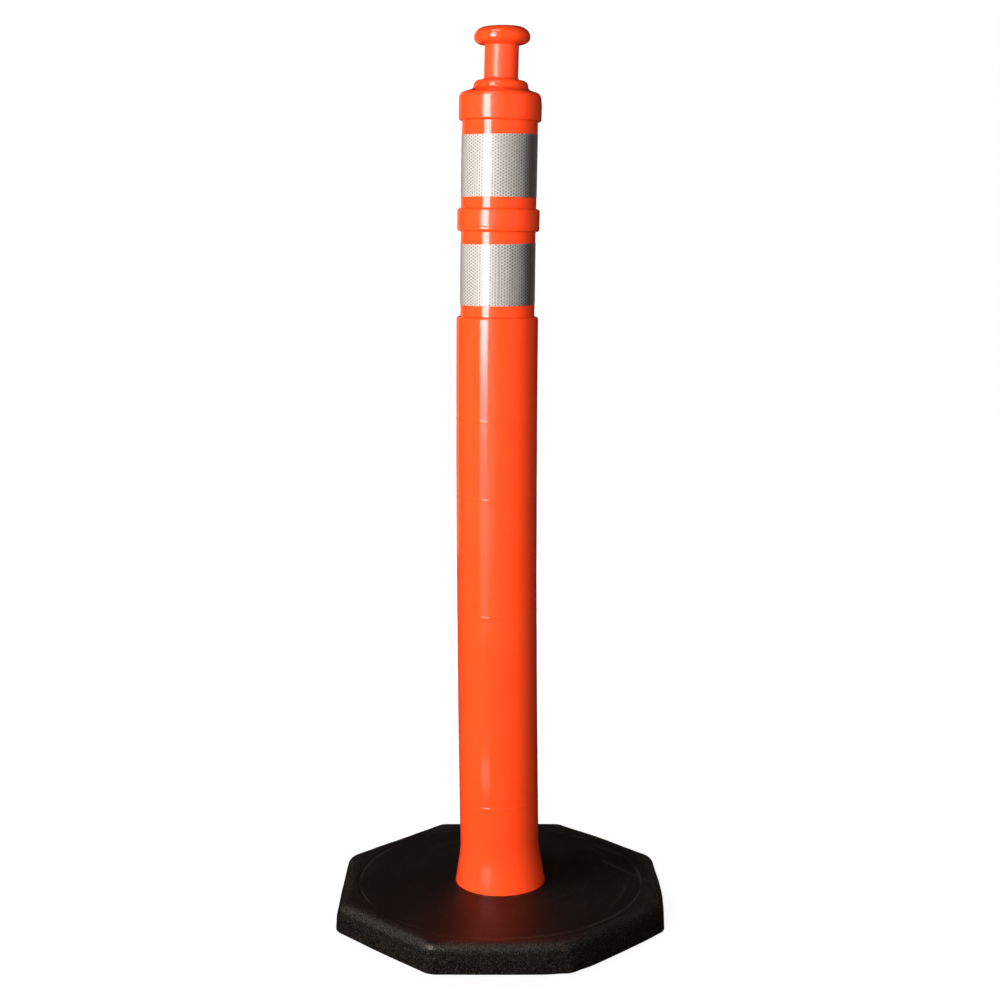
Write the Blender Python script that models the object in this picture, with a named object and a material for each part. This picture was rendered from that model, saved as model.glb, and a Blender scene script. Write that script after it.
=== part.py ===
"""Delineator post: a hollow orange post with two reflective bands, held down by a slip-over rubber base.

Sizes are in metres. Z is up, the ground is z = 0, and the post stands on the Z axis. The base is lifted off
by sliding it straight up over the knob, so the Z axis is also the axis of the one moving joint.
"""

import math

import bmesh
import bpy

# Post: one blow-moulded shell, open at its foot
WALL = 0.0032
POST_HEIGHT = 1.1250

# Grab knob at the top: a flat crown with an elliptical edge above and below
KNOB_RADIUS = 0.0342
KNOB_UNDERSIDE_Z = 1.1026
KNOB_WIDEST_Z = 1.1108
KNOB_CROWN_RADIUS = 0.0146
KNOB_UNDERSIDE_RADIUS = 0.0238

# Neck, where tape or rope is tied, and the small disc that it grows from
NECK_RADIUS = 0.0208
DISC_RADIUS = 0.0334
DISC_TOP_Z = 1.0595
DISC_FOOT_Z = 1.0490

# Collar with its sloping shoulder, a little narrower at its underside
COLLAR_RADIUS = 0.0510
COLLAR_FOOT_RADIUS = 0.0507
SHOULDER_RIM_Z = 1.0433
COLLAR_UNDERSIDE_Z = 1.0104

# Two recesses for the bands, with a raised ring between them that narrows like the collar
UPPER_RECESS_RADIUS = 0.04645
RING_RADIUS = 0.0510
RING_FOOT_RADIUS = 0.0507
RING_TOP_Z = 0.9039
RING_UNDERSIDE_Z = 0.8763
LOWER_RECESS_RADIUS = 0.0461

# Main tube and the flare that the base sits over
TUBE_RADIUS = 0.0508
TUBE_TOP_Z = 0.7709
FLARE_TOP_Z = 0.0775
FLARE_SLOPE = 0.174

# How far from a corner its rounding starts: the outer edges of the steps, and the hollows below them
NECK_TOP_HOLLOW = 0.0015
NECK_FOOT_HOLLOW = 0.0042
DISC_EDGE = 0.0068
SHOULDER_EDGE = 0.0052
UPPER_EDGE = 0.0032
LOWER_EDGE = 0.0026
STEP_HOLLOW = 0.0012
FLARE_BEND = 0.0060

# Foot flange, which the base traps against the ground
FLANGE_RADIUS = 0.0800
FLANGE_THICKNESS = 0.0060
FLANGE_CHAMFER = 0.0015

# Reflective bands: strips of film wrapped round the recesses, each with a lapped end
FILM_THICKNESS = 0.0004
BAND_HEIGHT = 0.0750
UPPER_BAND_Z = 0.9181
LOWER_BAND_Z = 0.7864
LAP_WIDTH = 0.0130
LAP_RAMP = 0.0050
UPPER_LAP_ANGLE = math.radians(-51)
LOWER_LAP_ANGLE = math.radians(-88)

# Rubber base: a regular octagon with its flats facing X and Y
BASE_ACROSS_FLATS = 0.4180
BASE_HEIGHT = 0.0355
BASE_DRAFT = 0.0020
BASE_CORNER_SETBACK = 0.0105
BASE_EDGE_RADIUS = 0.0150

# Clearances, and how far the cutter for the base's seat runs past its two faces
TOUCHING_GAP = 0.0003
FLANGE_CLEARANCE = 0.0010
CUTTER_OVERRUN = 0.0100

# Finishes: colour, roughness and metallic value
ORANGE_POLYETHYLENE = ((0.87, 0.12, 0.02), 0.28, 0.0)
REFLECTIVE_FILM = ((0.61, 0.56, 0.50), 0.22, 0.3)
RECYCLED_RUBBER = ((0.012, 0.011, 0.010), 0.72, 0.0)

# Fineness of the round shapes
SIDES = 40
CORNER_STEPS = 2
KNOB_STEPS = 5
BEVEL_STEPS = 4
SHARP_ANGLE = math.radians(35)
MERGE_DISTANCE = 1e-6


def clear_scene():
    for obj in list(bpy.data.objects):
        bpy.data.objects.remove(obj)


def material(name, finish):
    colour, roughness, metallic = finish
    made = bpy.data.materials.new(name)
    made.use_nodes = True
    shader = made.node_tree.nodes["Principled BSDF"]
    shader.inputs["Base Color"].default_value = (*colour, 1.0)
    shader.inputs["Roughness"].default_value = roughness
    shader.inputs["Metallic"].default_value = metallic
    return made


def new_object(name, shape, finish=None):
    """An object made from a bmesh, smooth except at its sharp edges."""
    mesh = bpy.data.meshes.new(name)
    shape.to_mesh(mesh)
    shape.free()
    mesh.shade_smooth()
    mesh.set_sharp_from_angle(angle=SHARP_ANGLE)
    obj = bpy.data.objects.new(name, mesh)
    bpy.context.scene.collection.objects.link(obj)
    if finish:
        mesh.materials.append(finish)
    return obj


# Turned profiles. A profile is a list of (radius, height) points.


def corner(radius, height, setback=0.0, setback_out=None, steps=CORNER_STEPS):
    """A corner of a profile and how far before and after it the rounding starts and ends."""
    leave = setback if setback_out is None else setback_out
    return {"point": (radius, height), "setbacks": (setback, leave), "steps": steps}


def direction(start, end):
    length = math.dist(start, end)
    return ((end[0] - start[0]) / length, (end[1] - start[1]) / length)


def rounded(corners):
    """The profile through the corners, with each rounded by an elliptical arc tangent to its two sides."""
    points = [corners[0]["point"]]
    for before, here, after in zip(corners, corners[1:], corners[2:]):
        r, z = here["point"]
        arrive, leave = here["setbacks"]
        into = direction(before["point"], (r, z))
        out_of = direction((r, z), after["point"])
        for step in range(here["steps"] + 1):
            turn = math.pi / 2 * step / here["steps"]
            back = arrive * (1 - math.sin(turn))
            on = leave * (1 - math.cos(turn))
            points.append((r - into[0] * back + out_of[0] * on, z - into[1] * back + out_of[1] * on))
    points.append(corners[-1]["point"])
    return points


def inset(corners, wall):
    """The sharp corners of the profile that lies the wall's thickness inside this one."""
    points = [entry["point"] for entry in corners]
    top = points[0]
    inner = [(top[0], top[1] - wall)]
    for before, here, after in zip(points, points[1:], points[2:]):
        into = direction(before, here)
        out_of = direction(here, after)
        share = wall / (1 + into[0] * out_of[0] + into[1] * out_of[1])
        inner.append((here[0] + share * (into[1] + out_of[1]), here[1] - share * (into[0] + out_of[0])))
    return inner


def turned(name, profile, finish=None):
    """The solid made by turning a profile about Z, from the axis round to the axis again."""
    shape = bmesh.new()
    verts = [shape.verts.new((r, 0.0, z)) for r, z in profile]
    edges = [shape.edges.new(pair) for pair in zip(verts, verts[1:])]
    bmesh.ops.spin(
        shape, geom=verts + edges, axis=(0, 0, 1), cent=(0, 0, 0), angle=math.tau, steps=SIDES, use_merge=True
    )
    bmesh.ops.remove_doubles(shape, verts=shape.verts, dist=MERGE_DISTANCE)
    bmesh.ops.recalc_face_normals(shape, faces=shape.faces)
    return new_object(name, shape, finish)


# The post


def flare_radius(height):
    return TUBE_RADIUS + FLARE_SLOPE * (FLARE_TOP_Z - height)


def shell_corners():
    """The outside of the post, from the middle of its crown down to the end of its flare on the ground."""
    return [
        corner(0.0, POST_HEIGHT),
        corner(
            KNOB_RADIUS,
            POST_HEIGHT,
            KNOB_RADIUS - KNOB_CROWN_RADIUS,
            POST_HEIGHT - KNOB_WIDEST_Z,
            KNOB_STEPS,
        ),
        corner(
            KNOB_RADIUS,
            KNOB_UNDERSIDE_Z,
            KNOB_WIDEST_Z - KNOB_UNDERSIDE_Z,
            KNOB_RADIUS - KNOB_UNDERSIDE_RADIUS,
            KNOB_STEPS,
        ),
        corner(NECK_RADIUS, KNOB_UNDERSIDE_Z, NECK_TOP_HOLLOW),
        corner(NECK_RADIUS, DISC_TOP_Z, NECK_FOOT_HOLLOW),
        corner(DISC_RADIUS, DISC_TOP_Z, DISC_EDGE),
        corner(DISC_RADIUS, DISC_FOOT_Z, STEP_HOLLOW),
        corner(COLLAR_RADIUS, SHOULDER_RIM_Z, SHOULDER_EDGE),
        corner(COLLAR_FOOT_RADIUS, COLLAR_UNDERSIDE_Z, LOWER_EDGE),
        corner(UPPER_RECESS_RADIUS, COLLAR_UNDERSIDE_Z, STEP_HOLLOW),
        corner(UPPER_RECESS_RADIUS, RING_TOP_Z, STEP_HOLLOW),
        corner(RING_RADIUS, RING_TOP_Z, UPPER_EDGE),
        corner(RING_FOOT_RADIUS, RING_UNDERSIDE_Z, LOWER_EDGE),
        corner(LOWER_RECESS_RADIUS, RING_UNDERSIDE_Z, STEP_HOLLOW),
        corner(LOWER_RECESS_RADIUS, TUBE_TOP_Z, STEP_HOLLOW),
        corner(TUBE_RADIUS, TUBE_TOP_Z, UPPER_EDGE),
        corner(TUBE_RADIUS, FLARE_TOP_Z, FLARE_BEND),
        corner(flare_radius(0.0), 0.0),
    ]


def foot_flange():
    """The flange's outline, from where the flare meets its top round to its outer edge on the ground."""
    return [
        (flare_radius(FLANGE_THICKNESS), FLANGE_THICKNESS),
        (FLANGE_RADIUS - FLANGE_CHAMFER, FLANGE_THICKNESS),
        (FLANGE_RADIUS, FLANGE_THICKNESS - FLANGE_CHAMFER),
        (FLANGE_RADIUS, 0.0),
    ]


def build_post(finish):
    corners = shell_corners()
    outside = rounded(corners)[:-1] + foot_flange()
    wall_on_slope = WALL * math.hypot(1.0, FLARE_SLOPE)
    inside = inset(corners, WALL) + [(flare_radius(0.0) - wall_on_slope, 0.0)]
    return turned("post_shell", outside + inside[::-1], finish)


# The reflective bands


def build_band(name, recess_radius, bottom, lap_angle, finish):
    """A strip of film wound once round the post. Its first end lies over its last end, and faces the lap angle."""
    radius = recess_radius + TOUCHING_GAP
    lift = FILM_THICKNESS + TOUCHING_GAP
    lap = LAP_WIDTH / radius
    ramp = LAP_RAMP / radius
    settled = lap + ramp
    whole = math.tau + lap
    stations = [0.0, lap / 2, lap, lap + ramp / 2]
    stations += [settled + (whole - settled) * i / SIDES for i in range(SIDES + 1)]
    shape = bmesh.new()
    columns = []
    for along in stations:
        raised = min(1.0, max(0.0, (settled - along) / ramp))
        reach = radius + lift * raised
        x = reach * math.cos(lap_angle + along)
        y = reach * math.sin(lap_angle + along)
        columns.append([shape.verts.new((x, y, z)) for z in (0.0, BAND_HEIGHT)])
    for (low_a, high_a), (low_b, high_b) in zip(columns, columns[1:]):
        shape.faces.new((low_a, low_b, high_b, high_a))
    band = new_object(name, shape, finish)
    band.location.z = bottom
    film = band.modifiers.new("film", "SOLIDIFY")
    film.thickness = FILM_THICKNESS
    film.offset = 1.0
    film.use_even_offset = True
    return band


# The rubber base


def octagon(shape, across_flats, height):
    """The corners of a level octagon with its flats facing X and Y."""
    reach = across_flats / 2 / math.cos(math.pi / 8)
    angles = [math.pi / 8 + math.tau * i / 8 for i in range(8)]
    return [shape.verts.new((reach * math.cos(a), reach * math.sin(a), height)) for a in angles]


def bevelled(shape, edges, offset):
    bmesh.ops.bevel(shape, geom=edges, offset=offset, segments=BEVEL_STEPS, profile=0.5, affect="EDGES")


def base_slab(name, finish):
    """The base without its hole: a drafted octagonal slab with rounded corners and a rounded top edge."""
    shape = bmesh.new()
    bottom = octagon(shape, BASE_ACROSS_FLATS, 0.0)
    top = octagon(shape, BASE_ACROSS_FLATS - 2 * BASE_DRAFT, BASE_HEIGHT)
    shape.faces.new(bottom[::-1])
    shape.faces.new(top)
    for i in range(8):
        after = (i + 1) % 8
        shape.faces.new((bottom[i], bottom[after], top[after], top[i]))
    bevelled(shape, [shape.edges.get(pair) for pair in zip(bottom, top)], BASE_CORNER_SETBACK)
    roof = max(shape.faces, key=lambda face: face.calc_center_median().z)
    bevelled(shape, list(roof.edges), BASE_EDGE_RADIUS)
    return new_object(name, shape, finish)


def seat_cutter():
    """The space that the flare and the foot flange take up, with the clearance round them."""
    above = BASE_HEIGHT + CUTTER_OVERRUN
    ledge = FLANGE_THICKNESS + TOUCHING_GAP
    profile = [
        (0.0, above),
        (flare_radius(above) + TOUCHING_GAP, above),
        (flare_radius(ledge) + TOUCHING_GAP, ledge),
        (FLANGE_RADIUS + FLANGE_CLEARANCE, ledge),
        (FLANGE_RADIUS + FLANGE_CLEARANCE, -CUTTER_OVERRUN),
        (0.0, -CUTTER_OVERRUN),
    ]
    cutter = turned("seat_cutter", profile)
    cutter.hide_render = True
    cutter.display_type = "WIRE"
    return cutter


def build_base(finish):
    base = base_slab("rubber_base", finish)
    seat = base.modifiers.new("seat", "BOOLEAN")
    seat.operation = "DIFFERENCE"
    seat.solver = "EXACT"
    seat.object = seat_cutter()
    return base


def main():
    clear_scene()
    orange = material("orange_polyethylene", ORANGE_POLYETHYLENE)
    film = material("reflective_film", REFLECTIVE_FILM)
    rubber = material("recycled_rubber", RECYCLED_RUBBER)
    post = build_post(orange)
    upper = build_band("upper_reflective_band", UPPER_RECESS_RADIUS, UPPER_BAND_Z, UPPER_LAP_ANGLE, film)
    lower = build_band("lower_reflective_band", LOWER_RECESS_RADIUS, LOWER_BAND_Z, LOWER_LAP_ANGLE, film)
    build_base(rubber)
    for band in (upper, lower):
        band.parent = post


main()
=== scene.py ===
import math

import bmesh
import bpy
import numpy as np
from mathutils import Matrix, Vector, noise


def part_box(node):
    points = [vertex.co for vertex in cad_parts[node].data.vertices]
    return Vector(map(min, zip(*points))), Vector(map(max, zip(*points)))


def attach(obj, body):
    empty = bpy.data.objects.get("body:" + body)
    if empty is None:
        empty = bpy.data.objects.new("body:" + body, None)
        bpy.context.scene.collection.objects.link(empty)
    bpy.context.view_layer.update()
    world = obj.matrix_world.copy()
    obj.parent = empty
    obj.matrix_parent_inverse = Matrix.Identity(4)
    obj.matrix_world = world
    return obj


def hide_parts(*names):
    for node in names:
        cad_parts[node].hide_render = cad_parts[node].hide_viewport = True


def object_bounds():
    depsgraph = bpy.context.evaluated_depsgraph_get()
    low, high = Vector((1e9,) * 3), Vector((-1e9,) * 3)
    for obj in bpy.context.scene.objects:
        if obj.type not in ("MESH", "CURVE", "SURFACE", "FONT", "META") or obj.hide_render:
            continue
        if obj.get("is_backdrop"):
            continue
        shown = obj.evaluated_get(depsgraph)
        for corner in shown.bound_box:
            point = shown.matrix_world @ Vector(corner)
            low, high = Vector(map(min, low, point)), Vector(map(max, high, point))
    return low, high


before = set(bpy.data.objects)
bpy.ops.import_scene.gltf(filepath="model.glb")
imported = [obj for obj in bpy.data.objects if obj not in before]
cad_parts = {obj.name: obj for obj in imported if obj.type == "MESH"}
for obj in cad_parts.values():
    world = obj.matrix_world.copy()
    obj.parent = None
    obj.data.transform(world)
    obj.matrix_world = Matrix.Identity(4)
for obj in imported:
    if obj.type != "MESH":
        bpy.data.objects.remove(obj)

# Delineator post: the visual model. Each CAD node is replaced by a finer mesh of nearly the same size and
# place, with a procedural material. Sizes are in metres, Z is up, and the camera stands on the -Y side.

# The post's outline, from the crown down to the ground, as corners: radius, height, setback before, setback
# after, steps. A setback is how far from the corner its rounding starts or ends. The CAD model's corners
# are nearly the same.
WALL = 0.0032
FLARE_SLOPE = 0.174
TUBE_RADIUS = 0.0508
FLARE_TOP_Z = 0.0775
FLANGE_RADIUS = 0.0800
FLANGE_THICKNESS = 0.0060
FLANGE_EDGE = 0.0015
FLANGE_FOOT_EDGE = 0.0006
POST_CORNERS = (
    (0.0, 1.1237, 0.0, 0.0, 1),
    (0.0342, 1.1237, 0.0146, 0.0122, 14),
    (0.0342, 1.1026, 0.0079, 0.0100, 12),
    (0.0208, 1.1026, 0.0018, 0.0018, 6),
    (0.0208, 1.0595, 0.0042, 0.0042, 8),
    (0.0334, 1.0595, 0.0068, 0.0068, 12),
    (0.0334, 1.0490, 0.0034, 0.0038, 8),
    (0.0510, 1.0433, 0.0052, 0.0052, 10),
    (0.0507, 1.0104, 0.0026, 0.0026, 8),
    (0.04645, 1.0104, 0.0012, 0.0012, 5),
    (0.04645, 0.9039, 0.0012, 0.0012, 5),
    (0.0510, 0.9039, 0.0032, 0.0032, 8),
    (0.0507, 0.8763, 0.0026, 0.0026, 8),
    (0.0461, 0.8763, 0.0012, 0.0012, 5),
    (0.0461, 0.7709, 0.0012, 0.0012, 5),
    (0.0508, 0.7709, 0.0032, 0.0032, 8),
    (0.0508, 0.0775, 0.0120, 0.0120, 14),
    (0.064285, 0.0, 0.0, 0.0, 1),
)

# Marks of moulding: rings where the mould's sections meet, as (height, size), the line where its halves
# meet at either side, the collar trimmed there, and a slight swell of the whole wall
SECTION_RINGS = (
    (0.8820, 0.00042),
    (0.64285, 0.00040),
    (0.5448, 0.00036),
    (0.3957, 0.00038),
    (0.1474, 0.00034),
)
RING_HALF_WIDTH = 0.00052
TRIM_DEPTH = 0.0019
TRIM_HALF_ANGLE = 0.15
TRIM_FROM_Z = 1.0350
PARTING_HEIGHT = 0.00016
PARTING_HALF_WIDTH = 0.00050
SWELL = 0.00016

# The bow: shift of the foot along X, then a polynomial in the height above BEND_FOOT_Z. The sections tip
# back, by an angle that is reached over TIP_RUN, and the knob stays level.
FOOT_SHIFT = -0.00070
BEND_FOOT_Z = 0.030
BEND = (-0.01786, 0.01737, 0.00223, -0.00621, 0.00475)
TIP_BACK = 0.0195
TIP_FROM_Z = 0.10
TIP_RUN = 0.20
LEVEL_FROM_Z = 1.055
LEVEL_RUN = 0.04

# Rougher zones of the post, as (from height, to height, softness of their ends, roughness added): the neck,
# the flare, the collar and the raised ring
ROUGHER = (
    (1.057, 1.102, 0.001, 0.30),
    (-0.050, 0.078, 0.014, 0.05),
    (1.0105, 1.0440, 0.001, 0.055),
    (0.8765, 0.9036, 0.001, 0.05),
)

# Reflective bands: node, recess radius, degrees that the outer end faces, how the top edge and the bottom
# edge sit against the CAD band (raise, raise towards +X, raise towards +Y), seed
BANDS = (
    ("upper_reflective_band", 0.04645, -51, (0.0022, 0.0013, 0.0009), (0.0005, 0.0002, 0.0), 3),
    ("lower_reflective_band", 0.04610, -88, (0.0014, 0.0011, 0.0010), (0.0006, 0.0005, 0.0011), 8),
)
FILM_THICKNESS = 0.00025
FILM_GAP = 0.00022
FILM_CORNER = 0.00010
LAP_WIDTH = 0.0130
LAP_RAMP = 0.0050
LAP_END_LIFT = 0.00012
LAP_END_WIDTH = 0.0006
EDGE_WAVE = 0.00022
RIPPLE = 0.00006
CELL_PITCH = 0.00385
CELL_RADIUS = 0.00108

# Rubber base
BASE_APOTHEM = 0.2090
BASE_HEIGHT = 0.0355
BASE_DRAFT = 0.0020
CORNER_RADIUS = 0.02535
TOP_EDGE_RADIUS = 0.0150
FOOT_EDGE_RADIUS = 0.0014
DISH_RADIUS = 0.1870
DISH_DEPTH = 0.0006
DISH_FROM = 0.0625
DISH_FALL = 0.010
DISH_STEP = 0.0015
TOP_SINK = 0.0003
LUMP_HEIGHT = 0.00045
CRUMB_HEIGHT = 0.00022
RIM_GRAIN = 0.12
BRINK_GRAIN = 0.45
HOLE_CLEARANCE = 0.0006
HOLE_EDGE = 0.0012
SEAT_RADIUS = 0.0810
SEAT_DEPTH = 0.0063
SEAT_EDGE = 0.0010
SIDE_BELLY = (0.0024, 0.0028, 0.0, 0.0, 0.0, 0.0011, 0.0003, 0.0006)
CORNER_WEAR = (0.0, 0.0, 0.0, 0.0, 0.0, 0.0, 0.0030, 0.0014)
CREASE = ((0.134, 0.065), (0.198, -0.016), 0.0011)
POLISHED = (-0.0810, -0.1960, 0.0320)

# Lamps: name, bearing, distance, low and high edge, width, radiance, tint, seen in gloss, lights surfaces,
# and the group of objects that it lights, or "" for all
WHITE = (1.0, 1.0, 1.0)
COOL = (1.0, 0.93, 1.0)
PINK = (1.0, 0.84, 1.05)
LAMPS = (
    ("strip", 37, 1.5, 0.60, 1.40, 0.54, 13.0, COOL, True, False, "shiny"),
    ("strip_top", 37, 1.5, 1.40, 2.10, 0.54, 8.0, COOL, True, False, "shiny"),
    ("strip_a", 37, 1.5, 0.545, 0.60, 0.54, 6.6, PINK, True, False, "shiny"),
    ("strip_b", 37, 1.5, 0.49, 0.545, 0.54, 4.6, PINK, True, False, "shiny"),
    ("strip_c", 37, 1.5, 0.43, 0.49, 0.54, 2.8, PINK, True, False, "shiny"),
    ("strip_d", 37, 1.5, 0.37, 0.43, 0.50, 1.2, PINK, True, False, "shiny"),
    ("strip_foot", 37, 1.5, 0.01, 0.37, 0.60, 0.8, WHITE, True, False, "shiny"),
    ("strip_flare", 37, 0.5, 0.004, 0.06, 0.22, 1.3, WHITE, True, False, "post"),
    ("overhead", 37, 0.9, 2.15, 2.90, 0.9, 5.0, WHITE, True, False, "post"),
    ("edge", 150, 2.0, 0.05, 1.90, 1.2, 0.9, (1.0, 0.35, 0.20), True, False, "post"),
    ("key", 31, 2.0, 0.10, 2.00, 1.5, 9.2, WHITE, False, True, "post"),
    ("left_low", 88, 2.0, 0.01, 0.60, 1.0, 5.0, WHITE, False, True, "post"),
    ("left_high", 88, 2.0, 0.60, 1.80, 1.0, 2.2, WHITE, False, True, "post"),
    ("front_low", 20, 2.0, 0.01, 0.60, 1.0, 5.5, WHITE, False, True, "post"),
    ("front_high", 0, 2.0, 0.60, 1.80, 1.0, 1.4, WHITE, False, True, "post"),
    ("glow_high", -46, 2.0, 0.60, 1.80, 1.0, 2.4, (1.0, 0.90, 1.55), False, True, "post"),
    ("key_film", 38, 2.0, 0.60, 1.80, 0.9, 18.0, WHITE, False, True, "film"),
    ("key_ground", 31, 2.0, 0.10, 2.00, 1.5, 3.2, WHITE, False, True, "ground"),
    ("edge_left", 78, 1.0, 0.75, 1.50, 1.0, 2.8, (1.0, 1.05, 1.20), True, False, "base"),
    ("edge_corner", 66, 1.0, 1.32, 1.68, 0.36, 62.0, (1.0, 1.0, 1.15), True, False, "base"),
    ("edge_front", 20, 0.9, 1.75, 2.35, 1.0, 5.5, (1.0, 1.05, 1.20), True, False, "base"),
    ("right", -112, 2.0, 0.05, 1.90, 1.0, 0.22, WHITE, False, True, ""),
    ("right_back", -148, 2.0, 0.05, 1.90, 1.0, 2.4, WHITE, False, True, ""),
    ("back", 178, 2.2, 0.10, 1.90, 1.4, 2.2, WHITE, False, True, ""),
    ("back_post", 178, 2.2, 0.10, 1.90, 1.4, 3.0, WHITE, False, True, "post"),
)


# ---------------------------------------------------------------- outlines


def direction(start, end):
    length = math.dist(start, end)
    return ((end[0] - start[0]) / length, (end[1] - start[1]) / length)


def rounded(corners):
    """The outline through the corners, each rounded by an elliptical arc tangent to its two sides."""
    points = [corners[0][:2]]
    for before, here, after in zip(corners, corners[1:], corners[2:]):
        r, z, arrive, leave, steps = here
        into = direction(before[:2], (r, z))
        out_of = direction((r, z), after[:2])
        for step in range(steps + 1):
            turn = math.pi / 2 * step / steps
            back = arrive * (1 - math.sin(turn))
            on = leave * (1 - math.cos(turn))
            point = (r - into[0] * back + out_of[0] * on, z - into[1] * back + out_of[1] * on)
            if math.dist(point, points[-1]) > 1e-6:
                points.append(point)
    points.append(corners[-1][:2])
    return points


def refined(points, longest, heights=()):
    """The outline with extra points on its long sides, and at these heights on its upright ones."""
    made = [points[0]]
    for start, end in zip(points, points[1:]):
        low, high = sorted((start[1], end[1]))
        stops = [(start[1] - h) / (start[1] - end[1]) for h in heights if low < h < high]
        pieces = math.ceil(math.dist(start, end) / longest)
        stops += [i / pieces for i in range(1, pieces)]
        for share in sorted(stops):
            made.append((start[0] + share * (end[0] - start[0]), start[1] + share * (end[1] - start[1])))
        made.append(end)
    return made


def outline_normals(points):
    """The outward direction at each point of an outline that runs downwards, as (radial, upward)."""
    p = np.array(points)
    along = np.gradient(p, axis=0)
    length = np.hypot(along[:, 0], along[:, 1])
    return -along[:, 1] / length, along[:, 0] / length


def bent(r, turn, z):
    """Points of the bowed post: each section shifts along X, turns square to the bow, and tips back."""
    z = np.asarray(z)
    t = np.clip(z - BEND_FOOT_Z, 0.0, None)
    shift = FOOT_SHIFT + sum(c * t ** (power + 1) for power, c in enumerate(BEND))
    slope = sum((power + 1) * c * t**power for power, c in enumerate(BEND)) * (z > BEND_FOOT_Z)
    tip = np.arctan(slope) * np.clip(1.0 - (z - LEVEL_FROM_Z) / LEVEL_RUN, 0.0, 1.0)
    across = r * np.cos(turn)
    deep = r * np.sin(turn)
    lean = TIP_BACK * np.clip((z - TIP_FROM_Z) / TIP_RUN, 0.0, 1.0)
    height = z - across * np.sin(tip) - deep * lean
    return np.stack(np.broadcast_arrays(shift + across * np.cos(tip), deep, height), axis=-1)


def noise_of(points, scale):
    """Smooth noise from -1 to 1 at an array of points."""
    flat = (np.asarray(points) * scale).reshape(-1, 3)
    values = np.array([noise.noise(Vector(p)) for p in flat])
    return values.reshape(np.asarray(points).shape[:-1])


# ---------------------------------------------------------------- meshes


def grid_mesh(name, grid, closed_rows=False, closed_columns=True, uv=None):
    """A mesh through a grid of points, rows by columns. A row whose points coincide becomes one point."""
    rows, columns = grid.shape[:2]
    spread = np.ptp(grid, axis=1).max(axis=1)
    first = []
    verts = []
    for i in range(rows):
        first.append(len(verts))
        verts.extend(map(tuple, grid[i][:1] if spread[i] < 1e-9 else grid[i]))

    def index(i, j):
        return first[i] + (0 if spread[i] < 1e-9 else j % columns)

    faces = []
    corners_uv = []
    for i in range(rows if closed_rows else rows - 1):
        below = (i + 1) % rows
        for j in range(columns if closed_columns else columns - 1):
            cells = ((i, j), (below, j), (below, j + 1), (i, j + 1))
            face = []
            kept = []
            for a, b in cells:
                v = index(a, b)
                if v not in face:
                    face.append(v)
                    kept.append((a, b % columns))
            faces.append(face)
            corners_uv.extend(kept)
    mesh = bpy.data.meshes.new(name)
    mesh.from_pydata(verts, [], faces)
    if uv is not None:
        layer = mesh.uv_layers.new(name="metres")
        flat = np.array([uv[a, b] for a, b in corners_uv], np.float32)
        layer.data.foreach_set("uv", flat.ravel())
    mesh.shade_smooth()
    mesh.update()
    obj = bpy.data.objects.new(name, mesh)
    bpy.context.scene.collection.objects.link(obj)
    return obj


def post_angles():
    """Angles round the post, closer together where the mould's halves meet at +X and -X."""
    even = np.arange(184) * math.tau / 184
    close = np.radians([-1.4, -1.0, -0.7, -0.45, -0.2, 0.2, 0.45, 0.7, 1.0, 1.4])
    return np.unique(np.round(np.concatenate([even, close % math.tau, math.pi + close]), 6))


def broken(angles, height, seed):
    """How strongly a moulding line stands out at each angle, from 0 to 1: it comes and goes."""
    ring = np.stack([np.cos(angles), np.sin(angles), np.full_like(angles, height * 7 + seed)], axis=-1)
    coarse = noise_of(ring, 2.3)
    fine = noise_of(ring, 14.0)
    return np.clip(0.80 + 0.7 * coarse + 0.6 * fine, 0.30, 1.4)


def flare_radius(z):
    """The flare's outer radius at this height."""
    return TUBE_RADIUS + FLARE_SLOPE * (FLARE_TOP_Z - z)


def post_outside():
    """The post's outer outline, from the crown down to the foot flange's underside."""
    near = np.array([-2.4, -1.6, -1.1, -0.7, -0.35, 0.0, 0.35, 0.7, 1.1, 1.6, 2.4]) * RING_HALF_WIDTH
    heights = [z + offset for z, _ in SECTION_RINGS for offset in near]
    outline = refined(rounded(POST_CORNERS), 0.010, heights)
    outline = [point for point in outline if point[1] > FLANGE_THICKNESS + 0.0020]
    neck = flare_radius(FLANGE_THICKNESS)
    outline += [(neck, FLANGE_THICKNESS + 0.0012), (neck + 0.0008, FLANGE_THICKNESS + 0.0002)]
    outline += [(r, FLANGE_THICKNESS) for r in (neck + 0.0020, 0.0725, 0.0782)]
    for step in range(7):
        turn = math.pi / 2 * step / 6
        r = FLANGE_RADIUS - FLANGE_EDGE * (1 - math.sin(turn))
        outline.append((r, FLANGE_THICKNESS - FLANGE_EDGE * (1 - math.cos(turn))))
    outline += [(FLANGE_RADIUS, FLANGE_FOOT_EDGE), (FLANGE_RADIUS - FLANGE_FOOT_EDGE, 0.0)]
    return outline


def post_inside():
    """The outline that lies the wall's thickness inside the post's, from the crown down to the ground."""
    last = len(POST_CORNERS) - 1
    corners = [(0.0, POST_CORNERS[0][1] - WALL, 0.0, 0.0, 1)]
    for i in range(1, last):
        r, z, arrive, leave, _ = POST_CORNERS[i]
        into = direction(POST_CORNERS[i - 1][:2], (r, z))
        out_of = direction((r, z), POST_CORNERS[i + 1][:2])
        share = WALL / (1 + into[0] * out_of[0] + into[1] * out_of[1])
        if into[0] * out_of[1] < into[1] * out_of[0]:
            arrive, leave = (max(0.0006, cut - WALL) for cut in (arrive, leave))
        r += share * (into[1] + out_of[1])
        z -= share * (into[0] + out_of[0])
        corners.append((r, z, arrive, leave, 4))
    corners.append((POST_CORNERS[last][0] - WALL * math.hypot(1.0, FLARE_SLOPE), 0.0, 0.0, 0.0, 1))
    return refined(rounded(corners), 0.030)


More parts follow.
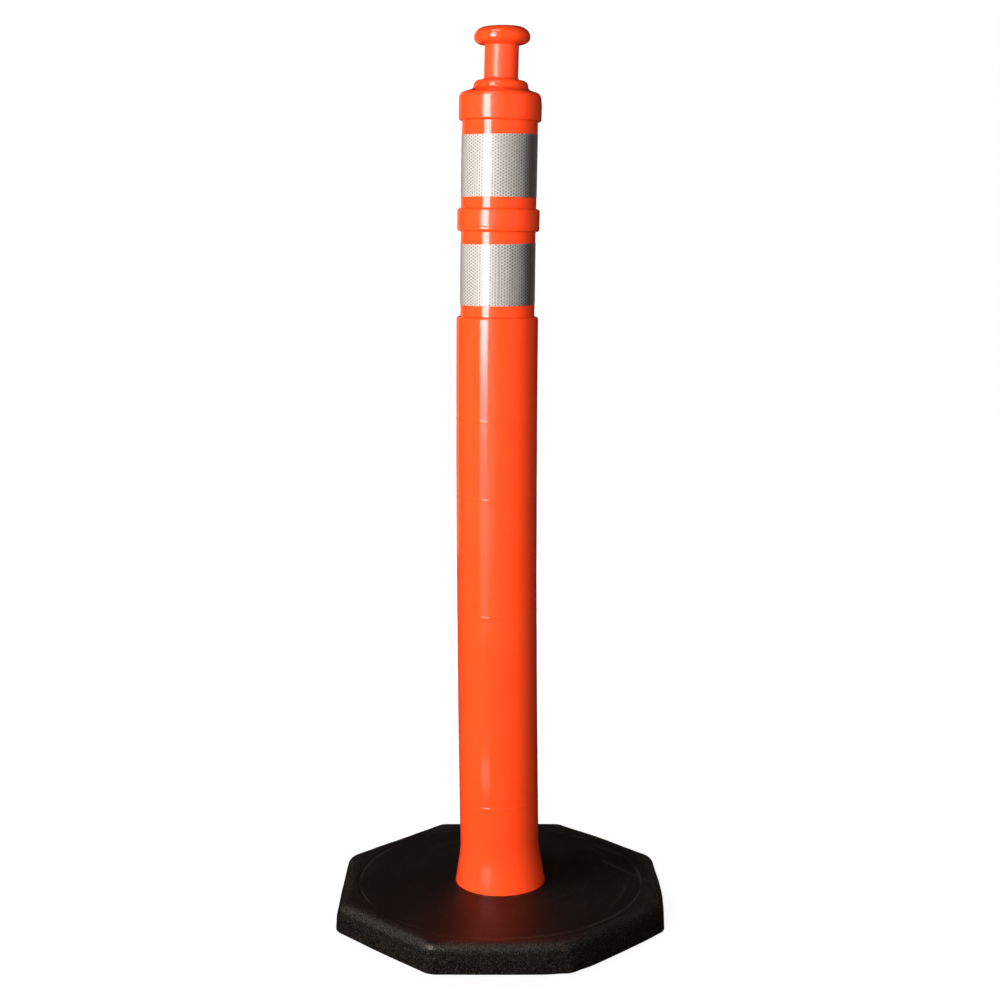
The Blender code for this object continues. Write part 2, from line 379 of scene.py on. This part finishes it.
def build_post():
    """The post as one shell: outside from the crown to the foot flange, and back up its inside."""
    outside = post_outside()
    normal_r, normal_z = outline_normals(outside)
    outer = np.array(outside)
    angles = post_angles()
    radius, height = outer[:, :1], outer[:, 1:]
    turn = np.broadcast_to(angles, (len(outer), len(angles)))
    across = radius * np.sin(turn)
    raised = PARTING_HEIGHT * np.exp(-((across / PARTING_HALF_WIDTH) ** 2))
    points = np.stack([radius * np.cos(turn), across, np.broadcast_to(height, turn.shape)], axis=-1)
    raised += SWELL * noise_of(points, 21.0) * np.clip(radius / 0.03, 0, 1)
    for seed, (z, size) in enumerate(SECTION_RINGS):
        raised += size * broken(angles, z, seed) * np.exp(-(((height - z) / RING_HALF_WIDTH) ** 2))
    off_x = np.abs(np.sin(turn))
    trim = TRIM_DEPTH * np.where(np.cos(turn) > 0, 1.0, 0.15) * np.exp(-((off_x / TRIM_HALF_ANGLE) ** 2))
    trim = trim * np.clip((height - TRIM_FROM_Z) / 0.0060, 0, 1) * np.clip((radius - 0.036) / 0.012, 0, 1)
    out_r = radius + raised * normal_r[:, None] - trim
    out_z = np.maximum(height + raised * normal_z[:, None], 0.0)
    on_axis = radius[:, 0] < 1e-9
    out_r[on_axis] = 0.0
    out_z[on_axis] = out_z[on_axis].mean()
    inside = np.array(post_inside())[::-1]
    in_r = np.broadcast_to(inside[:, :1], (len(inside), len(angles)))
    in_z = np.broadcast_to(inside[:, 1:], (len(inside), len(angles)))
    r = np.concatenate([out_r, in_r])
    z = np.concatenate([out_z, in_z])
    turn = np.broadcast_to(angles, r.shape)
    return grid_mesh("post_body", bent(r, turn, z))


def build_band(name, node, recess, lap_angle, top_edge, bottom_edge, seed):
    """A strip of film wound once round its recess, with one end lapped over the other."""
    low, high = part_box(node)
    radius = recess + FILM_GAP
    lap = LAP_WIDTH / radius
    ramp = LAP_RAMP / radius
    whole = math.tau + lap
    lift = FILM_THICKNESS + FILM_GAP
    lapped = np.linspace(0, lap + ramp, 14)
    single = np.linspace(lap + ramp, whole, 150)
    stations = np.unique(np.concatenate([[0, LAP_END_WIDTH / radius], lapped, single]))
    raised = np.clip((lap + ramp - stations) / ramp, 0, 1)
    raised = raised * raised * (3 - 2 * raised)
    angle = math.radians(lap_angle) + stations
    reach = radius + lift * raised
    reach[0] += LAP_END_LIFT
    ring = np.stack([np.cos(angle), np.sin(angle), np.full_like(angle, seed * 3.7)], axis=-1)
    edges = []
    levels = ((high.z - 0.0004, top_edge, 1.9), (low.z + 0.0002, bottom_edge, 2.6))
    for level, (rise, to_x, to_y), scale in levels:
        slant = to_x * np.cos(angle) + to_y * np.sin(angle)
        edges.append(level + rise - TIP_BACK * radius + slant + EDGE_WAVE * noise_of(ring, scale))
    top, bottom = edges
    shares = np.concatenate([[0, 0.004], np.linspace(0.03, 0.97, 16), [0.996, 1]])
    z = bottom[None, :] + shares[:, None] * (top - bottom)[None, :]
    inset = np.zeros_like(shares)
    inset[[0, -1]] = FILM_CORNER
    sides = []
    for thickness in (0.0, FILM_THICKNESS):
        r = np.broadcast_to(reach + thickness, z.shape) - (inset[:, None] if thickness else 0)
        ripple = np.stack([np.cos(angle) * r, np.sin(angle) * r, z], axis=-1)
        r = r + RIPPLE * noise_of(ripple, 45.0)
        sides.append(bent(r, np.broadcast_to(angle, z.shape), z))
    inner, outer = sides
    grid = np.concatenate([outer, inner[::-1]])
    metres = np.stack([np.broadcast_to(stations * radius, z.shape), z - low.z], axis=-1)
    uv = np.concatenate([metres, metres[::-1]])
    strip = grid_mesh(name, grid, closed_rows=True, closed_columns=False, uv=uv)
    close_ends(strip)
    return strip


def close_ends(obj):
    """Fills the two open ends of a wound strip."""
    shape = bmesh.new()
    shape.from_mesh(obj.data)
    rim = [edge for edge in shape.edges if edge.is_boundary]
    bmesh.ops.holes_fill(shape, edges=rim, sides=0)
    bmesh.ops.triangulate(shape, faces=[f for f in shape.faces if len(f.verts) > 4])
    bmesh.ops.recalc_face_normals(shape, faces=shape.faces)
    shape.to_mesh(obj.data)
    shape.free()
    obj.data.set_sharp_from_angle(angle=math.radians(40))


def octagon_stations():
    """Directions round the base: along each of its eight flats and round each corner between them."""
    stations = []
    for side in range(8):
        middle = side * math.pi / 4
        for share in np.linspace(-1, 1, 45)[:-1]:
            stations.append(("flat", middle, share))
        for share in np.linspace(0, 1, 17)[:-1]:
            stations.append(("corner", middle, share))
    return stations


def octagon_ring(stations, inset):
    """The octagon's rounded outline this far inside the base's foot, as an array of (x, y)."""
    apothem = BASE_APOTHEM - CORNER_RADIUS
    half_flat = apothem * math.tan(math.pi / 8)
    radius = CORNER_RADIUS - inset
    points = []
    for kind, middle, share in stations:
        side = round(middle / (math.pi / 4)) % 8
        normal = (math.cos(middle), math.sin(middle))
        along = (-normal[1], normal[0])
        reach = half_flat * (share if kind == "flat" else 1)
        x = normal[0] * apothem + along[0] * reach
        y = normal[1] * apothem + along[1] * reach
        turn = middle if kind == "flat" else middle + share * math.pi / 4
        out = SIDE_BELLY[side] * (1 - share * share) ** 2 if kind == "flat" else 0.0
        nearest = side if kind == "corner" or share > 0 else (side - 1) % 8
        from_corner = (1 - abs(share)) * half_flat if kind == "flat" else 0.0
        out -= CORNER_WEAR[nearest] * math.exp(-((from_corner / 0.016) ** 2))
        points.append((x + (radius + out) * math.cos(turn), y + (radius + out) * math.sin(turn)))
    return np.array(points)


def build_base():
    """The rubber base, ring by ring: top, rounded edge, sides, underside, seat for the flange, and hole."""
    stations = octagon_stations()
    foot = octagon_ring(stations, 0.0)
    angle = np.arctan2(foot[:, 1], foot[:, 0])
    unit = np.stack([np.cos(angle), np.sin(angle)], axis=-1)
    hole_top = flare_radius(BASE_HEIGHT) + HOLE_CLEARANCE
    hole_low = flare_radius(SEAT_DEPTH) + HOLE_CLEARANCE
    rings = []
    grain = []

    def add(xy, z, grained):
        rings.append(np.column_stack([xy, np.full(len(xy), z)]))
        grain.append(grained)

    middle = np.array([FOOT_SHIFT, 0.0])
    for step in range(5):
        turn = math.pi / 2 * step / 4
        r = hole_top + HOLE_EDGE * (1 - math.cos(turn))
        add(unit * r + middle, BASE_HEIGHT - HOLE_EDGE * (1 - math.sin(turn)), 0.0)
    top = BASE_HEIGHT
    for r in np.arange(0.0640, DISH_RADIUS - 2 * DISH_STEP, 0.0045):
        add(unit * r, top - DISH_DEPTH * min(1.0, (r - DISH_FROM) / DISH_FALL), 0.0)
    for share in (0.0, 0.25, 0.5, 0.75, 1.0):
        r = DISH_RADIUS - DISH_STEP + 2 * DISH_STEP * share
        add(unit * r, top - DISH_DEPTH * (1 - share * share * (3 - 2 * share)), RIM_GRAIN * share)
    start = unit * (DISH_RADIUS + DISH_STEP)
    brink = octagon_ring(stations, BASE_DRAFT + TOP_EDGE_RADIUS)
    for share in (0.2, 0.4, 0.6, 0.8, 1.0):
        add(start + share * (brink - start), top, RIM_GRAIN + (BRINK_GRAIN - RIM_GRAIN) * share**3)
    for step in range(1, 13):
        turn = math.pi / 2 * step / 12
        inset = BASE_DRAFT + TOP_EDGE_RADIUS * (1 - math.sin(turn))
        z = top - TOP_EDGE_RADIUS * (1 - math.cos(turn))
        add(octagon_ring(stations, inset), z, min(1.0, BRINK_GRAIN + 0.12 * step))
    side_top = top - TOP_EDGE_RADIUS
    for share in np.linspace(0, 1, 11)[1:]:
        z = side_top + share * (FOOT_EDGE_RADIUS - side_top)
        add(octagon_ring(stations, BASE_DRAFT * z / BASE_HEIGHT), z, 1.0)
    for step in range(1, 5):
        turn = math.pi / 2 * step / 4
        inset = FOOT_EDGE_RADIUS * (1 - math.cos(turn))
        add(octagon_ring(stations, inset), FOOT_EDGE_RADIUS * (1 - math.sin(turn)), 1.0)
    low = octagon_ring(stations, FOOT_EDGE_RADIUS)
    seat = unit * (SEAT_RADIUS + SEAT_EDGE) + middle
    for share in np.linspace(0, 1, 19)[1:]:
        add(low + share * (seat - low), 0.0, 0.4)
    for z in (SEAT_EDGE, 0.0030, 0.0050, SEAT_DEPTH):
        add(unit * SEAT_RADIUS + middle, z, 0.2)
    for r in (0.0790, 0.0755, 0.0710, hole_low + SEAT_EDGE):
        add(unit * r + middle, SEAT_DEPTH, 0.2)
    add(unit * hole_low + middle, SEAT_DEPTH + SEAT_EDGE, 0.0)
    for share in np.linspace(0, 1, 9)[1:-1]:
        z = SEAT_DEPTH + SEAT_EDGE + share * (BASE_HEIGHT - HOLE_EDGE - SEAT_DEPTH - SEAT_EDGE)
        add(unit * (flare_radius(z) + HOLE_CLEARANCE) + middle, z, 0.0)
    grid = np.array(rings)
    grained = np.array(grain)
    x, y, z = grid[..., 0], grid[..., 1], grid[..., 2]
    radius = np.hypot(x, y)
    free = np.clip((radius - 0.066) / 0.02, 0, 1) * np.clip(z / 0.006, 0, 1)
    lump = LUMP_HEIGHT * noise_of(grid, 17.0)
    lump += CRUMB_HEIGHT * noise_of(grid, 62.0) * (0.35 + 0.65 * grained[:, None])
    side = np.clip((BASE_HEIGHT - z) / TOP_EDGE_RADIUS, 0, 1)
    side = side * side * (3 - 2 * side)
    scale = 1 + lump * free * side / np.maximum(radius, 0.05)
    grid[..., 0] *= scale
    grid[..., 1] *= scale
    grid[..., 2] += (lump - TOP_SINK) * free * (1 - side)
    rim = np.clip(1 - np.abs(radius - hole_top) / 0.004, 0, 1) * (z > BASE_HEIGHT - 0.004)
    grid[..., 2] += rim * 0.00045 * noise_of(grid, 160.0)
    base = grid_mesh("base_body", grid, closed_rows=True)
    attribute = base.data.attributes.new("grain", "FLOAT", "POINT")
    attribute.data.foreach_set("value", np.repeat(grained, grid.shape[1]).astype(np.float32))
    return base


# ---------------------------------------------------------------- materials


class Shader:
    """A small wrapper that adds nodes to a material and links their sockets."""

    def __init__(self, name):
        self.material = bpy.data.materials.new(name)
        self.material.use_nodes = True
        self.tree = self.material.node_tree
        self.surface = self.tree.nodes["Principled BSDF"]

    def add(self, kind, settings=None, **inputs):
        node = self.tree.nodes.new("ShaderNode" + kind)
        for key, value in (settings or {}).items():
            setattr(node, key, value)
        for key, value in inputs.items():
            self.set(node.inputs[key], value)
        return node

    def set(self, socket, value):
        if isinstance(value, bpy.types.NodeSocket):
            self.tree.links.new(value, socket)
        else:
            socket.default_value = value

    def math(self, operation, *values, clamp=False):
        node = self.add("Math", {"operation": operation, "use_clamp": clamp})
        for socket, value in zip(node.inputs, values):
            self.set(socket, value)
        return node.outputs[0]

    def vector(self, operation, *values):
        node = self.add("VectorMath", {"operation": operation})
        for socket, value in zip(node.inputs, values):
            self.set(socket, value)
        return node.outputs["Value" if operation in ("LENGTH", "DISTANCE", "DOT_PRODUCT") else "Vector"]

    def noise(self, vector, scale, detail=3.0, roughness=0.55):
        node = self.add("TexNoise", None, Vector=vector, Scale=scale, Detail=detail, Roughness=roughness)
        return node.outputs["Fac"]

    def ramp(self, value, low, high, to_low=0.0, to_high=1.0, smooth=True):
        kind = "SMOOTHSTEP" if smooth else "LINEAR"
        node = self.add("MapRange", {"interpolation_type": kind}, Value=value)
        node.inputs["From Min"].default_value = low
        node.inputs["From Max"].default_value = high
        node.inputs["To Min"].default_value = to_low
        node.inputs["To Max"].default_value = to_high
        return node.outputs[0]

    def blend(self, share, first, second, mode="MIX"):
        node = self.add("Mix", {"data_type": "RGBA", "blend_type": mode})
        self.set(node.inputs[0], share)
        self.set(node.inputs[6], first)
        self.set(node.inputs[7], second)
        return node.outputs[2]

    def bump(self, height, distance, strength=1.0, normal=None):
        node = self.add("Bump", None, Height=height, Distance=distance, Strength=strength)
        if normal is not None:
            self.set(node.inputs["Normal"], normal)
        return node.outputs[0]


def colour(r, g, b):
    return (r, g, b, 1.0)


def orange_material():
    s = Shader("orange_polyethylene")
    place = s.add("TexCoord").outputs["Object"]
    flow = s.vector("MULTIPLY", place, (1.0, 1.0, 0.06))
    cloud = s.noise(place, 9.0, 2.0)
    streak = s.noise(flow, 130.0, 3.0)
    ribs = s.noise(flow, 300.0, 2.0)
    peel = s.noise(place, 620.0, 2.0)
    dimple = s.noise(place, 150.0, 2.0)
    shade = s.blend(s.ramp(cloud, 0.3, 0.7), colour(0.930, 0.0600, 0.0098), colour(0.950, 0.0655, 0.0112))
    shade = s.blend(s.ramp(streak, 0.62, 0.80, 0.0, 0.25), shade, colour(0.960, 0.0560, 0.0150))
    rub = s.vector("MULTIPLY", place, (1.0, 1.0, 0.35))
    scuff = s.ramp(s.noise(rub, 38.0, 6.0, 0.7), 0.60, 0.78)
    shade = s.blend(s.math("MULTIPLY", scuff, 0.18), shade, colour(0.970, 0.0850, 0.0360))
    s.set(s.surface.inputs["Base Color"], shade)
    rough = s.math("ADD", s.ramp(streak, 0.3, 0.8, 0.120, 0.175), s.math("MULTIPLY", scuff, 0.04))
    height = s.add("SeparateXYZ", None, Vector=place).outputs[2]
    for low, high, soft, more in ROUGHER:
        above = s.ramp(height, low - soft, low + soft)
        within = s.math("MULTIPLY", above, s.ramp(height, high - soft, high + soft, more, 0.0))
        rough = s.math("ADD", rough, within)
    s.set(s.surface.inputs["Roughness"], rough)
    normal = s.bump(peel, 0.00003, 0.6)
    normal = s.bump(dimple, 0.00007, 0.5, normal)
    normal = s.bump(ribs, 0.00009, 0.45, normal)
    s.set(s.surface.inputs["Normal"], normal)
    s.surface.inputs["IOR"].default_value = 1.52
    s.surface.inputs["Subsurface Weight"].default_value = 0.12
    s.surface.inputs["Subsurface Radius"].default_value = (1.0, 0.28, 0.10)
    s.surface.inputs["Subsurface Scale"].default_value = 0.004
    s.surface.inputs["Coat Weight"].default_value = 0.35
    s.surface.inputs["Coat Roughness"].default_value = 0.075
    return s.material


def film_material(name):
    s = Shader(name)
    uv = s.add("TexCoord").outputs["UV"]
    place = s.add("TexCoord").outputs["Object"]
    across = CELL_PITCH * math.sqrt(3)
    distances = []
    for shift in ((0.0, 0.0, 0.0), (across / 2, CELL_PITCH / 2, 0.0)):
        moved = s.vector("ADD", uv, shift)
        cell = s.add("VectorMath", {"operation": "WRAP"})
        s.set(cell.inputs[0], moved)
        cell.inputs[1].default_value = (across / 2, CELL_PITCH / 2, 1.0)
        cell.inputs[2].default_value = (-across / 2, -CELL_PITCH / 2, -1.0)
        flat = s.vector("MULTIPLY", cell.outputs[0], (1.0, 1.0, 0.0))
        distances.append(s.vector("LENGTH", flat))
    distance = s.math("MINIMUM", *distances)
    wobble = s.noise(place, 900.0, 1.0)
    distance = s.math("ADD", distance, s.ramp(wobble, 0.2, 0.8, -0.00018, 0.00018, smooth=False))
    dot = s.ramp(distance, CELL_RADIUS * 0.55, CELL_RADIUS * 1.25, 1.0, 0.0)
    fleck = s.noise(place, 340.0, 3.0)
    ground = s.blend(s.ramp(fleck, 0.3, 0.7), colour(0.680, 0.628, 0.575), colour(0.760, 0.705, 0.650))
    stain = s.ramp(s.noise(place, 26.0, 4.0), 0.45, 0.75, 0.0, 0.16)
    ground = s.blend(stain, ground, colour(0.560, 0.510, 0.440))
    shade = s.blend(s.math("MULTIPLY", dot, 0.92), ground, colour(0.165, 0.138, 0.098))
    s.set(s.surface.inputs["Base Color"], shade)
    s.set(s.surface.inputs["Metallic"], s.ramp(dot, 0.0, 1.0, 0.06, 0.20, smooth=False))
    s.set(s.surface.inputs["Roughness"], s.ramp(dot, 0.0, 1.0, 0.50, 0.40, smooth=False))
    s.surface.inputs["Coat Weight"].default_value = 1.0
    s.surface.inputs["Coat Roughness"].default_value = 0.045
    s.surface.inputs["IOR"].default_value = 1.5
    relief = s.math("MULTIPLY", dot, -1.0)
    normal = s.bump(relief, 0.00004, 0.5)
    normal = s.bump(s.noise(place, 60.0, 2.0), 0.00008, 0.35, normal)
    s.set(s.surface.inputs["Normal"], normal)
    s.set(s.surface.inputs["Coat Normal"], s.bump(s.noise(place, 60.0, 2.0), 0.00008, 0.35))
    return s.material


def rubber_material():
    """Moulded crumb rubber: smooth, rubbed and dark on the dished top, speckled on the grained sides."""
    s = Shader("recycled_rubber")
    place = s.add("TexCoord").outputs["Object"]
    grain = s.add("Attribute", {"attribute_name": "grain"}).outputs["Fac"]
    coarse = s.noise(place, 420.0, 3.0, 0.65)
    fine = s.noise(place, 1500.0, 2.0)
    crumbs = s.add("TexVoronoi", {"feature": "F1"}, Vector=place, Scale=980.0)
    chosen = s.add("SeparateColor", None, Color=crumbs.outputs["Color"])
    cloud = s.noise(place, 14.0, 4.0)
    dark = colour(0.0014, 0.0012, 0.0009)
    shade = s.blend(s.ramp(cloud, 0.35, 0.70), dark, colour(0.0034, 0.0030, 0.0023))
    shade = s.blend(s.ramp(grain, 0.0, 1.0, 0.0, 0.7, smooth=False), shade, colour(0.0150, 0.0132, 0.0110))
    fleck = s.ramp(crumbs.outputs["Distance"], 0.25, 0.50, 1.0, 0.0)
    fleck = s.math("MULTIPLY", fleck, s.ramp(chosen.outputs[0], 0.30, 0.85))
    fleck = s.math("MULTIPLY", fleck, s.ramp(grain, 0.0, 1.0, 0.10, 1.0, smooth=False))
    shade = s.blend(fleck, shade, colour(0.215, 0.192, 0.160))
    split = s.add("SeparateXYZ", None, Vector=place)
    flat = s.vector("MULTIPLY", place, (1.0, 1.0, 0.0))
    radius = s.vector("LENGTH", flat)
    turn = s.math("ARCTAN2", split.outputs[1], split.outputs[0])
    outward = s.math("MULTIPLY", radius, 260.0)
    swirl = s.add("CombineXYZ", None, X=outward, Y=s.math("MULTIPLY", turn, 2.2), Z=1.7)
    rub = s.ramp(s.noise(swirl.outputs[0], 1.0, 4.0, 0.65), 0.52, 0.68)
    patch = s.ramp(s.noise(place, 7.0, 2.0), 0.42, 0.62)
    rub = s.math("MULTIPLY", s.math("MULTIPLY", rub, patch), s.ramp(grain, 0.0, 0.6, 1.0, 0.0))
    shade = s.blend(s.math("MULTIPLY", rub, 0.38), shade, colour(0.060, 0.048, 0.034))
    speck = s.ramp(crumbs.outputs["Distance"], 0.20, 0.40, 1.0, 0.0)
    speck = s.math("MULTIPLY", speck, s.ramp(chosen.outputs[1], 0.990, 0.996))
    shade = s.blend(speck, shade, colour(0.340, 0.300, 0.240))
    rim = s.math("ABSOLUTE", s.math("SUBTRACT", radius, DISH_RADIUS - 0.004))
    arc = s.ramp(rim, 0.0004, 0.0016, 1.0, 0.0)
    arc = s.math("MULTIPLY", arc, s.ramp(s.noise(place, 11.0, 3.0), 0.45, 0.60))
    crease = s.math("MULTIPLY", along_line(s, place, CREASE), s.ramp(coarse, 0.35, 0.60, 0.25, 1.0))
    worn = s.math("MAXIMUM", s.math("MULTIPLY", arc, 0.6), crease)
    shade = s.blend(worn, shade, colour(0.080, 0.072, 0.062))
    s.set(s.surface.inputs["Base Color"], shade)
    edge = s.ramp(split.outputs[2], BASE_HEIGHT - 0.006, BASE_HEIGHT - 0.001, 1.0, 0.0)
    rough = s.math("SUBTRACT", s.ramp(grain, 0.0, 1.0, 0.51, 0.43), s.math("MULTIPLY", edge, 0.11))
    polish = s.ramp(s.vector("DISTANCE", place, POLISHED), 0.005, 0.018, 1.0, 0.0)
    rough = s.math("SUBTRACT", rough, s.math("MULTIPLY", polish, 0.08))
    rough = s.math("ADD", rough, s.ramp(coarse, 0.3, 0.8, 0.05, -0.07, smooth=False))
    s.set(s.surface.inputs["Roughness"], rough)
    depth = s.ramp(grain, 0.0, 1.0, 0.16, 1.0, smooth=False)
    depth = s.math("MULTIPLY", depth, s.math("SUBTRACT", 1.0, s.math("MULTIPLY", polish, 0.65)))
    grit = s.math("SUBTRACT", coarse, s.math("MULTIPLY", crumbs.outputs["Distance"], 0.6))
    normal = s.bump(s.math("MULTIPLY", grit, depth), 0.00080, 0.9)
    normal = s.bump(fine, 0.00010, 0.6, normal)
    s.set(s.surface.inputs["Normal"], normal)
    s.surface.inputs["IOR"].default_value = 1.44
    s.surface.inputs["Specular Tint"].default_value = colour(1.0, 0.80, 0.55)
    return s.material


def along_line(s, place, line):
    """1 on the line between two points of the base's top, fading to 0 at its half width and its ends."""
    (x, y), (to_x, to_y), half_width = line
    length = math.hypot(to_x - x, to_y - y)
    along = ((to_x - x) / length, (to_y - y) / length, 0.0)
    wobble = s.ramp(s.noise(place, 45.0, 2.0), 0.2, 0.8, -0.0022, 0.0022, smooth=False)
    local = s.vector("SUBTRACT", place, (x, y, 0.0))
    far = s.vector("DOT_PRODUCT", local, along)
    off = s.math("ADD", s.vector("DOT_PRODUCT", local, (-along[1], along[0], 0.0)), wobble)
    near = s.ramp(s.math("ABSOLUTE", off), half_width * 0.4, half_width, 1.0, 0.0)
    ends = s.math("MULTIPLY", s.ramp(far, 0.0, 0.008), s.ramp(far, length - 0.008, length, 1.0, 0.0))
    return s.math("MULTIPLY", near, ends)


# ---------------------------------------------------------------- stage


def build_floor():
    """A plain pale floor that fades into the pale surroundings at its rim."""
    radii = np.concatenate([[0.0], np.geomspace(0.25, 6.0, 28)])
    turn = np.linspace(0, math.tau, 97)[:-1]
    grid = np.stack(
        [
            radii[:, None] * np.cos(turn),
            radii[:, None] * np.sin(turn),
            np.full((len(radii), len(turn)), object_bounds()[0].z - 0.0003),
        ],
        axis=-1,
    )
    floor = grid_mesh("floor", grid[::-1])
    s = Shader("pale_floor")
    place = s.add("TexCoord").outputs["Object"]
    away = s.vector("LENGTH", place)
    tone = s.ramp(s.noise(place, 3.0, 3.0), 0.3, 0.7, 0.0, 1.0)
    shade = s.blend(tone, colour(0.50, 0.50, 0.50), colour(0.52, 0.52, 0.515))
    s.set(s.surface.inputs["Base Color"], shade)
    s.set(s.surface.inputs["Roughness"], s.ramp(tone, 0.0, 1.0, 0.85, 0.92))
    s.surface.inputs["Specular IOR Level"].default_value = 0.0
    s.surface.inputs["Emission Color"].default_value = colour(1.0, 1.0, 1.0)
    s.set(s.surface.inputs["Emission Strength"], s.ramp(away, 0.45, 2.0, 0.86, 1.12))
    s.set(s.surface.inputs["Alpha"], s.ramp(away, 2.0, 5.5, 1.0, 0.0))
    floor.data.materials.append(s.material)
    floor.visible_diffuse = False
    floor.visible_glossy = False
    floor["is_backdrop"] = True
    return floor


def build_world():
    """Near white to the eye, and dim as a light, so that the lamps shape the object."""
    world = bpy.data.worlds.new("studio")
    world.use_nodes = True
    tree = world.node_tree
    back = tree.nodes["Background"]
    seen = tree.nodes.new("ShaderNodeBackground")
    seen.inputs["Color"].default_value = colour(1.0, 1.0, 1.0)
    back.inputs["Color"].default_value = colour(1.0, 0.94, 0.86)
    back.inputs["Strength"].default_value = 0.015
    path = tree.nodes.new("ShaderNodeLightPath")
    mix = tree.nodes.new("ShaderNodeMixShader")
    tree.links.new(path.outputs["Is Camera Ray"], mix.inputs[0])
    tree.links.new(back.outputs[0], mix.inputs[1])
    tree.links.new(seen.outputs[0], mix.inputs[2])
    tree.links.new(mix.outputs[0], tree.nodes["World Output"].inputs[0])
    bpy.context.scene.world = world


def softbox(name, bearing, distance, low, high, width, radiance, tint, gloss, surfaces):
    """A rectangular lamp at a bearing, in degrees left of the camera's side, that faces the Z axis."""
    data = bpy.data.lights.new(name, "AREA")
    data.shape = "RECTANGLE"
    data.size = width
    data.size_y = high - low
    data.energy = radiance * width * (high - low) * math.pi
    data.color = tint
    lamp = bpy.data.objects.new(name, data)
    turn = math.radians(bearing)
    lamp.location = (-distance * math.sin(turn), -distance * math.cos(turn), (low + high) / 2)
    aim = Vector((0.0, 0.0, (low + high) / 2)) - lamp.location
    lamp.rotation_euler = aim.to_track_quat("-Z", "Y").to_euler()
    lamp.visible_camera = False
    lamp.visible_glossy = gloss
    lamp.visible_diffuse = surfaces
    bpy.context.scene.collection.objects.link(lamp)
    return lamp


def build_lights(lit):
    """The lamps. Some light only the objects of one group, named in lit."""
    groups = {}
    for name, objects in lit.items():
        groups[name] = bpy.data.collections.new("lit_" + name)
        for obj in objects:
            groups[name].objects.link(obj)
    for *shape, group in LAMPS:
        lamp = softbox(*shape)
        if group:
            lamp.light_linking.receiver_collection = groups[group]


def build_camera():
    data = bpy.data.cameras.new("camera")
    data.sensor_width = 36.0
    data.lens = 61.268
    data.shift_y = -0.0544
    camera = bpy.data.objects.new("camera", data)
    camera.location = (-0.001, -2.1269, 0.9147)
    camera.rotation_euler = (math.radians(90 - 8.2115), 0.0, 0.0)
    bpy.context.scene.collection.objects.link(camera)
    bpy.context.scene.camera = camera


def main():
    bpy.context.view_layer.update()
    bpy.context.scene.view_settings.view_transform = "Standard"
    post = build_post()
    post.data.materials.append(orange_material())
    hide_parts("post_shell")
    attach(post, "post")
    film = film_material("reflective_film")
    bands = []
    for node, *shape in BANDS:
        band = build_band(node.replace("reflective_band", "film"), node, *shape)
        band.data.materials.append(film)
        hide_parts(node)
        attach(band, "post")
        bands.append(band)
    base = build_base()
    base.data.materials.append(rubber_material())
    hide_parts("rubber_base")
    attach(base, "base")
    floor = build_floor()
    build_world()
    lit = {"post": [post], "film": bands, "shiny": [post, *bands]}
    lit["base"] = [base]
    lit["ground"] = [base, floor]
    build_lights(lit)
    build_camera()


main()
